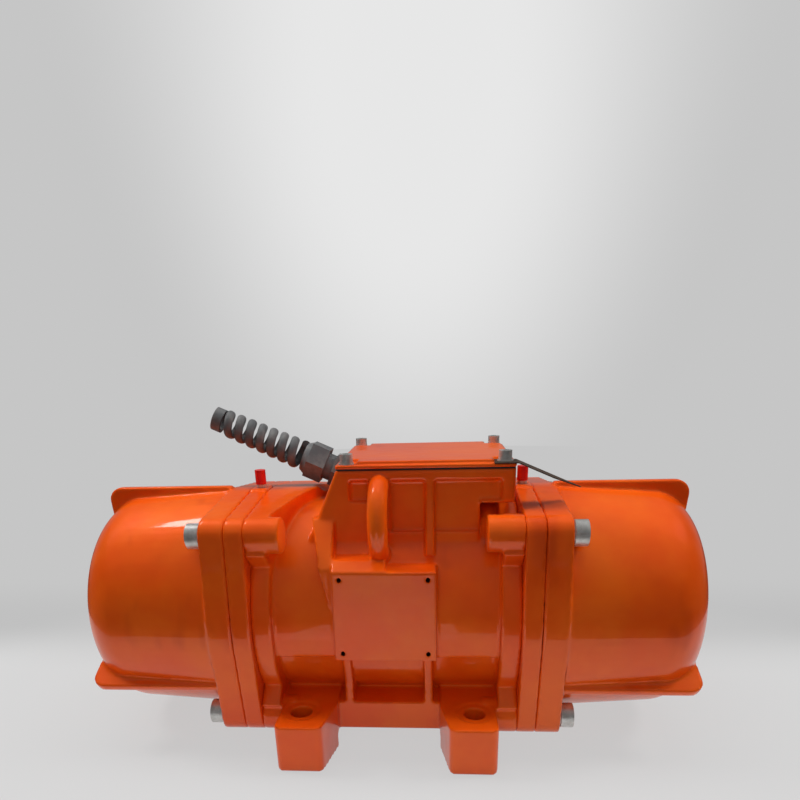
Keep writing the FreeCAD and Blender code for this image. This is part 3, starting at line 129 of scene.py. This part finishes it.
class Finish(Bench):
    """One material, with its shader's own sockets set first."""

    def __init__(self, name, **plain):
        self.material = bpy.data.materials.new(name)
        self.material.use_nodes = True
        super().__init__(self.material.node_tree)
        self.shader = next(node for node in self.tree.nodes if node.type == "BSDF_PRINCIPLED")
        for socket, value in plain.items():
            self.shader.inputs[socket.replace("_", " ")].default_value = value
        self.place = self.add("ShaderNodeTexCoord", {}, {}, "Object")

    def stretched(self, scale):
        """The object's own coordinates, longer or shorter along each axis."""
        return self.add("ShaderNodeMapping", {}, {"Vector": self.place, "Scale": scale})

    def noise(self, scale, detail=3.0, rough=0.55, place=None):
        links = {"Vector": place or self.place, "Scale": scale, "Detail": detail, "Roughness": rough}
        return self.add("ShaderNodeTexNoise", {}, links)

    def bumps(self, *layers):
        """Stack bump layers, each a (height, distance) pair."""
        normal = None
        for height, distance in layers:
            links = {"Height": height, "Distance": distance}
            if normal:
                links["Normal"] = normal
            normal = self.add("ShaderNodeBump", {}, links)
        self.set(Normal=normal)

    def set(self, **sockets):
        for name, value in sockets.items():
            self.tree.links.new(value.socket, self.shader.inputs[name.replace("_", " ")])


enamel = Finish("orange_enamel", Metallic=0.20, Specular_IOR_Level=0.2, Coat_Weight=0.6,
                Coat_Roughness=0.05, Coat_IOR=1.5)
enamel_orange = (0.87, 0.088, 0.002, 1.0)
enamel_deep = (0.62, 0.050, 0.001, 1.0)
enamel_light = (0.93, 0.135, 0.004, 1.0)
flow = enamel.noise(30.0, 2.0, 0.5, enamel.stretched((1.0, 1.0, 0.5)))
peel = enamel.noise(380.0, 2.0, 0.6)
pooled = enamel.noise(11.0, 4.0, 0.6)
shade = enamel.mix(pooled.between(0.35, 0.70), enamel_orange, enamel_light)
deepest_share = 0.6
enamel.set(Base_Color=enamel.mix(flow.between(0.60, 0.80) * deepest_share, shade, enamel_deep))
enamel.set(Roughness=0.30 + 0.15 * pooled.between(0.3, 0.8))
enamel.bumps((flow, 0.0018), (peel, 0.00006))


def new_piece(form, name):
    """A finished form as an object in the scene."""
    mesh = bpy.data.meshes.new(name)
    form.to_mesh(mesh)
    form.free()
    piece = bpy.data.objects.new(name, mesh)
    scene.collection.objects.link(piece)
    return piece


def settle(piece):
    """Make a piece's live modifiers part of its mesh."""
    whole = piece.evaluated_get(bpy.context.evaluated_depsgraph_get())
    piece.data = bpy.data.meshes.new_from_object(whole)
    piece.modifiers.clear()


weld_gap = 0.000005
most_triangles = 190000


def cast_skin(node, name, grain, rounds):
    """A casting's own form with its edges rounded off by sand and paint."""
    form = bmesh.new()
    form.from_mesh(nodes[node].data)
    bmesh.ops.remove_doubles(form, verts=form.verts, dist=weld_gap)
    piece = new_piece(form, name)
    skin = piece.modifiers.new("skin", "REMESH")
    skin.mode = "VOXEL"
    skin.voxel_size = grain
    soft = piece.modifiers.new("soft", "SMOOTH")
    soft.factor = 0.5
    soft.iterations = rounds
    settle(piece)
    triangles = len(piece.data.polygons) * 2
    if triangles > most_triangles:
        fewer = piece.modifiers.new("fewer", "DECIMATE")
        fewer.ratio = most_triangles / triangles
        settle(piece)
    for face in piece.data.polygons:
        face.use_smooth = True
    piece.data.materials.clear()
    piece.data.materials.append(enamel.material)
    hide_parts(node)
    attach(piece, "motor_body")
    return piece


housing_grain = 0.0012
plate_grain = 0.0014
lid_grain = 0.0009
housing = cast_skin("motor_housing", "housing_casting", housing_grain, 3)
for side in ("left", "right"):
    cast_skin("bearing_shield_" + side, "shield_casting_" + side, plate_grain, 3)
    cast_skin("weight_cover_" + side, "cover_casting_" + side, plate_grain, 3)
cast_skin("terminal_lid", "lid_casting", lid_grain, 2)

# -------------------------------------------------------------- rivet holes
# Four small blind holes bored in the smooth pad on the front wall, where a
# plate would be riveted on.  Their walls get a near-black painted shade for the
# shadow deep inside them.

# Painted shade: the hole walls are coloured near-black for the shadow inside the holes, and the mottle only
# varies that dark tone.
hole_shade = Finish("painted_hole_shade", Metallic=0.6)
shade_mottle = hole_shade.noise(900.0, 3.0)
hole_shade.set(Base_Color=hole_shade.mix(shade_mottle, (0.02, 0.006, 0.004, 1.0), (0.07, 0.02, 0.012, 1.0)))
hole_shade.set(Roughness=0.5 + 0.2 * shade_mottle)
pad_face = -0.0924
hole_across = 0.0335
hole_rows = (0.0895, 0.1505)
hole_depth = 0.005
hole_radius = 0.0016
drill = bmesh.new()
for hole_x in (-hole_across, hole_across):
    for hole_z in hole_rows:
        turn = Matrix.Translation((hole_x, pad_face, hole_z)) @ Matrix.Rotation(math.pi / 2, 4, "X")
        bmesh.ops.create_cone(drill, cap_ends=True, segments=24, radius1=hole_radius,
                              radius2=hole_radius, depth=2 * hole_depth, matrix=turn)
driller = new_piece(drill, "rivet_drill")
driller.data.materials.append(hole_shade.material)
bore = housing.modifiers.new("bore", "BOOLEAN")
bore.operation = "DIFFERENCE"
bore.solver = "EXACT"
bore.material_mode = "TRANSFER"
bore.object = driller
settle(housing)
bpy.data.objects.remove(driller)

# -------------------------------------------------------------- screws and washers
# Socket screws, spring washers and nipples of steel, plated with zinc.  The
# plating is dull and faintly yellow, with grey smears.


def finish_nodes(finish, *names):
    """Give CAD pieces a finish in place of their plain one."""
    for name in names:
        data = nodes[name].data
        data.materials.clear()
        data.materials.append(finish.material)


def both_sides(*names):
    """The left and the right node of each name."""
    return [name + "_" + side for side in ("left", "right") for name in names]


zinc = Finish("zinc_plate", Metallic=0.75)
smear = zinc.noise(160.0, 4.0, 0.65)
zinc.set(Base_Color=zinc.mix(smear.between(0.35, 0.7), (0.60, 0.59, 0.56, 1.0), (0.82, 0.82, 0.80, 1.0)))
zinc.set(Roughness=0.28 + 0.25 * smear)
zinc.bumps((zinc.noise(900.0, 2.0), 0.00003))
finish_nodes(zinc, "lid_bolts", "lid_washers", "earth_screw")
finish_nodes(zinc, *both_sides("cover_bolts", "cover_washers", "grease_nipple", "bearing_cap_screws",
                               "weight_washer", "shaft_circlip", "clamp_bolt", "weight_key"))

# -------------------------------------------------------------- tin tag
# A bent strip of thin tin, held under one lid screw.  It is dark bronze-brown
# with lighter specks strewn at random.

tin = Finish("speckled_tin", Metallic=0.5)
speck = tin.noise(420.0, 4.0, 0.7)
tin.set(Base_Color=tin.mix(speck.between(0.35, 0.7), (0.055, 0.032, 0.022, 1.0), (0.16, 0.10, 0.065, 1.0)))
tin.set(Roughness=0.35 + 0.25 * speck)
tin.bumps((speck, 0.00006))
finish_nodes(tin, "hang_tag")

# -------------------------------------------------------------- bearings, shaft and stacks
# Ground bearing steel, a turned shaft with fine rings from the lathe, and
# stacks of thin varnished sheets, pressed on the shaft and into the barrel.

ground = Finish("ground_steel", Metallic=1.0)
ground.set(Base_Color=ground.mix(ground.noise(60.0), (0.60, 0.61, 0.63, 1.0), (0.74, 0.75, 0.77, 1.0)))
ground.set(Roughness=0.12 + 0.10 * ground.noise(240.0))
turned = Finish("turned_steel", Metallic=1.0)
rings = turned.noise(30.0, 2.0, 0.5, turned.stretched((90.0, 1.0, 1.0)))
turned.set(Base_Color=turned.mix(rings, (0.42, 0.43, 0.44, 1.0), (0.62, 0.63, 0.64, 1.0)))
turned.set(Roughness=0.25 + 0.2 * rings)
turned.bumps((rings, 0.00004))
stacked = Finish("stacked_sheet", Metallic=1.0)
sheets = stacked.noise(40.0, 1.0, 0.5, stacked.stretched((60.0, 1.0, 1.0)))
stacked.set(Base_Color=stacked.mix(sheets, (0.16, 0.15, 0.14, 1.0), (0.36, 0.35, 0.34, 1.0)))
stacked.set(Roughness=0.40 + 0.2 * sheets)
stacked.bumps((sheets, 0.0001))
finish_nodes(turned, "rotor_shaft")
finish_nodes(stacked, "stator_core", "rotor_core")
finish_nodes(ground, *both_sides("bearing_outer_ring", "bearing_inner_ring", "bearing_rollers"))

# -------------------------------------------------------------- weights and cages
# Sawn and machined iron plates with oil on them, clamped on the shaft's ends,
# and bearing cages of machined brass.

bare = Finish("bare_iron", Metallic=0.85)
patches = bare.noise(45.0, 5.0, 0.6)
bare.set(Base_Color=bare.mix(patches.between(0.3, 0.7), (0.10, 0.10, 0.105, 1.0), (0.24, 0.235, 0.23, 1.0)))
bare.set(Roughness=0.32 + 0.25 * patches)
bare.bumps((bare.noise(500.0, 4.0), 0.00012))
brass = Finish("machined_brass", Metallic=1.0)
worn = brass.noise(120.0, 3.0)
brass.set(Base_Color=brass.mix(worn, (0.62, 0.42, 0.16, 1.0), (0.80, 0.60, 0.27, 1.0)))
brass.set(Roughness=0.22 + 0.2 * worn)
finish_nodes(bare, *both_sides("bearing_cap", "inner_weight", "outer_weight"))
finish_nodes(brass, *both_sides("bearing_cage"))

# -------------------------------------------------------------- winding
# Coil heads of varnished copper wire, laced round and seated in the ends of
# the stator stack.

copper = Finish("varnished_copper", Metallic=0.7)
wires = copper.add("ShaderNodeTexWave", {"bands_direction": "X"},
                   {"Vector": copper.place, "Scale": 260.0, "Distortion": 3.0, "Detail": 2.0}, 1)
copper.set(Base_Color=copper.mix(wires, (0.20, 0.05, 0.015, 1.0), (0.52, 0.19, 0.07, 1.0)))
copper.set(Roughness=0.25 + 0.2 * wires)
copper.bumps((wires, 0.0004))
finish_nodes(copper, "stator_winding")

# -------------------------------------------------------------- gland
# A moulded grey nylon gland with a spiral nut, screwed into the leaning wall
# of the terminal box.  The plastic is satin, with dust in the roots of the
# spiral.

nylon = Finish("grey_nylon", IOR=1.5)
dust = nylon.noise(75.0, 4.0, 0.6)
nylon.set(Base_Color=nylon.mix(dust.between(0.4, 0.75), (0.11, 0.112, 0.115, 1.0), (0.19, 0.185, 0.18, 1.0)))
nylon.set(Roughness=0.38 + 0.18 * dust)
nylon.bumps((nylon.noise(700.0, 2.0), 0.00005))
finish_nodes(nylon, "gland_body", "gland_spiral_nut", "gland_locknut")

# -------------------------------------------------------------- seals
# Black moulded rubber: the gland's seal, the gasket under the lid and the
# rings that lie in the covers' grooves.

rubber = Finish("black_rubber", IOR=1.5)
rubber.set(Base_Color=rubber.mix(rubber.noise(90.0), (0.012, 0.012, 0.012, 1.0), (0.035, 0.034, 0.033, 1.0)))
rubber.set(Roughness=0.65 + 0.2 * rubber.noise(150.0))
finish_nodes(rubber, "gland_seal", "lid_gasket", *both_sides("cover_seal"))

# -------------------------------------------------------------- terminal block
# A block of dark moulded resin on the floor of the terminal box, with brass
# studs for the leads.

resin = Finish("dark_resin", IOR=1.5)
resin.set(Base_Color=resin.mix(resin.noise(80.0), (0.015, 0.015, 0.016, 1.0), (0.04, 0.04, 0.04, 1.0)))
resin.set(Roughness=0.4 + 0.2 * resin.noise(200.0))
finish_nodes(resin, "terminal_block")
finish_nodes(brass, "terminal_studs")

# -------------------------------------------------------------- grease caps
# Small red caps of soft shiny plastic, pushed by hand over the grease nipples
# to keep dirt out.

red = Finish("red_plastic", IOR=1.48, Coat_Weight=0.3)
blush = red.noise(140.0, 3.0)
red.set(Base_Color=red.mix(blush, (0.55, 0.006, 0.006, 1.0), (0.78, 0.016, 0.012, 1.0)))
red.set(Roughness=0.22 + 0.15 * blush)
finish_nodes(red, *both_sides("grease_cap"))

# ---------------------------------------------------------------- lamps
# Soft lamps stand over, beside and in front of the motor.  Only the narrow
# one at the left draws a streak in the enamel.


def lamp(name, spot, aim, width, tall, power):
    light = bpy.data.lights.new(name, "AREA")
    light.shape = "RECTANGLE"
    light.size = width
    light.size_y = tall
    light.energy = power
    holder = bpy.data.objects.new(name, light)
    turn = (Vector(aim) - Vector(spot)).to_track_quat("-Z", "Y")
    holder.matrix_world = Matrix.Translation(spot) @ turn.to_matrix().to_4x4()
    scene.collection.objects.link(holder)
    return holder


motor_middle = (0.0, 0.0, 0.1)
lamp("overhead", (0.0, 0.15, 1.4), motor_middle, 1.1, 0.35, 7.0).visible_glossy = False
lamp("left_side", (-0.95, 0.10, 0.95), motor_middle, 0.3, 0.3, 8.5).visible_glossy = False
lamp("right_side", (0.95, 0.10, 0.95), motor_middle, 0.3, 0.3, 7.5).visible_glossy = False
lamp("front_fill", (0.0, -1.3, 0.5), (0.0, 0.0, 0.12), 1.0, 0.8, 2.9).visible_glossy = False
lamp("streak", (-0.79, 0.30, 1.4), (-0.19, -0.06, 0.2), 0.30, 0.12, 1.6)

# ---------------------------------------------------------------- floor
# A pale paper floor that darkens a little towards the wall behind.  It glows
# by itself where it is seen, and keeps the motor's shadow near its feet.

near_reach = (0.62, 0.35, 1.0)
circle_sides = 96
floor_form = bmesh.new()
bmesh.ops.create_circle(floor_form, cap_ends=True, segments=circle_sides, radius=1.9)
bmesh.ops.translate(floor_form, vec=(0.0, 0.0, -0.0004), verts=floor_form.verts[:])
floor = new_piece(floor_form, "studio_floor")

paper = Finish("studio_paper", Roughness=0.9)
depth = paper.add("ShaderNodeSeparateXYZ", {}, {"Vector": paper.place}, "Y")
near_tone = (0.66, 0.66, 0.66, 1.0)
edge_tone = (0.53, 0.53, 0.53, 1.0)
far_tone = (0.565, 0.565, 0.565, 1.0)
tone = paper.mix(depth.between(0.045, 0.175), near_tone, edge_tone)
tone = paper.mix(depth.between(0.19, 0.36), tone, far_tone)
paper.set(Base_Color=tone)
glow = paper.add("ShaderNodeEmission", {}, {"Color": tone, "Strength": 1.0})
sight = paper.add("ShaderNodeLightPath", {}, {}, "Is Camera Ray")
glass = paper.add("ShaderNodeLightPath", {}, {}, "Is Transmission Ray")
mirror = paper.add("ShaderNodeLightPath", {}, {}, "Is Glossy Ray")
oval = paper.stretched((1.0 / near_reach[0], 1.0 / near_reach[1], 1.0))
far = paper.add("ShaderNodeVectorMath", {"operation": "LENGTH"}, {0: oval}, "Value")
near_glow = 0.82
glowing = (sight + glass + mirror) * (near_glow + (1.0 - near_glow) * far.between(0.75, 0.97))
plain = Field(paper, paper.shader.outputs[0])
blend = paper.add("ShaderNodeMixShader", {}, {0: glowing, 1: plain, 2: glow})
outlet = next(node for node in paper.tree.nodes if node.type == "OUTPUT_MATERIAL")
paper.tree.links.new(blend.socket, outlet.inputs["Surface"])
floor.data.materials.append(paper.material)

# ---------------------------------------------------------------- felt and card
# A ring of black felt lies on the far floor and a pale card before the pad,
# both kept out of sight.  The felt keeps the enamel's gloss deep and takes
# light off the walls, and the card lights the pad.

cloth_form = bmesh.new()
hem = bmesh.ops.create_circle(cloth_form, segments=circle_sides, radius=1.0)["verts"]
bmesh.ops.scale(cloth_form, vec=near_reach, verts=hem)
bmesh.ops.create_circle(cloth_form, segments=circle_sides, radius=1.85)
bmesh.ops.bridge_loops(cloth_form, edges=cloth_form.edges[:])
bmesh.ops.translate(cloth_form, vec=(0.0, 0.0, -0.0002), verts=cloth_form.verts[:])
cloth = new_piece(cloth_form, "studio_cloth")
cloth.visible_camera = False
cloth.visible_shadow = False
felt = Finish("studio_felt", Roughness=0.95)
felt.set(Base_Color=felt.mix(felt.noise(3.0), (0.02, 0.02, 0.02, 1.0), (0.03, 0.03, 0.03, 1.0)))
cloth.data.materials.append(felt.material)

card_form = bmesh.new()
bmesh.ops.create_grid(card_form, x_segments=1, y_segments=1, size=0.5)
bmesh.ops.scale(card_form, vec=(0.20, 0.34, 1.0), verts=card_form.verts[:])
bmesh.ops.translate(card_form, vec=(-0.035, -0.42, 0.0), verts=card_form.verts[:])
card = new_piece(card_form, "studio_card")
card.visible_camera = False
card.visible_shadow = False
card.visible_diffuse = False
pulp = Finish("studio_pulp", Roughness=0.95)
pulp.set(Base_Color=pulp.mix(pulp.noise(3.0), (0.80, 0.80, 0.80, 1.0), (0.84, 0.84, 0.84, 1.0)))
card.data.materials.append(pulp.material)

# ---------------------------------------------------------------- air
# Grey air lights the motor softly, brighter overhead.  Where it is seen, it
# is a pale wall with a painted pool of light in its middle.

world = bpy.data.worlds.new("studio_air")
scene.world = world
world.use_nodes = True
air = Bench(world.node_tree)
way = air.add("ShaderNodeTexCoord", {}, {}, "Generated")
rise = air.add("ShaderNodeSeparateXYZ", {}, {"Vector": way}, "Z")
shade_above = air.mix(rise.between(0.35, 0.95), (0.06, 0.06, 0.06, 1.0), (0.30, 0.30, 0.30, 1.0))
# Painted pool of light: the wall seen behind the motor grows paler towards one spot behind and above it.
centred = air.add("ShaderNodeVectorMath", {"operation": "SUBTRACT"}, {0: way, 1: (-0.03, 0.93, 0.32)})
spread = air.add("ShaderNodeVectorMath", {"operation": "MULTIPLY"}, {0: centred, 1: (2.4, 1.0, 1.6)})
off = air.add("ShaderNodeVectorMath", {"operation": "LENGTH"}, {0: spread}, "Value")
pale = air.mix(off.between(0.25, 1.0), (0.80, 0.80, 0.80, 1.0), (0.565, 0.565, 0.565, 1.0))
seen = air.add("ShaderNodeLightPath", {}, {}, "Is Camera Ray")
through = air.add("ShaderNodeLightPath", {}, {}, "Is Transmission Ray")
mirrored = air.add("ShaderNodeLightPath", {}, {}, "Is Glossy Ray")
behind = air.add("ShaderNodeSeparateXYZ", {}, {"Vector": way}, "Y")
low_glow = (1.0 - rise.between(0.10, 0.55)) * behind.between(0.2, 0.6)
dim_above = air.mix(mirrored * 0.3, shade_above, (0.0, 0.0, 0.0, 1.0))
shown = air.mix(seen + through + mirrored * (0.02 + 0.25 * low_glow), dim_above, pale)
world.node_tree.links.new(shown.socket, world.node_tree.nodes["Background"].inputs["Color"])
scene.view_settings.view_transform = "Standard"
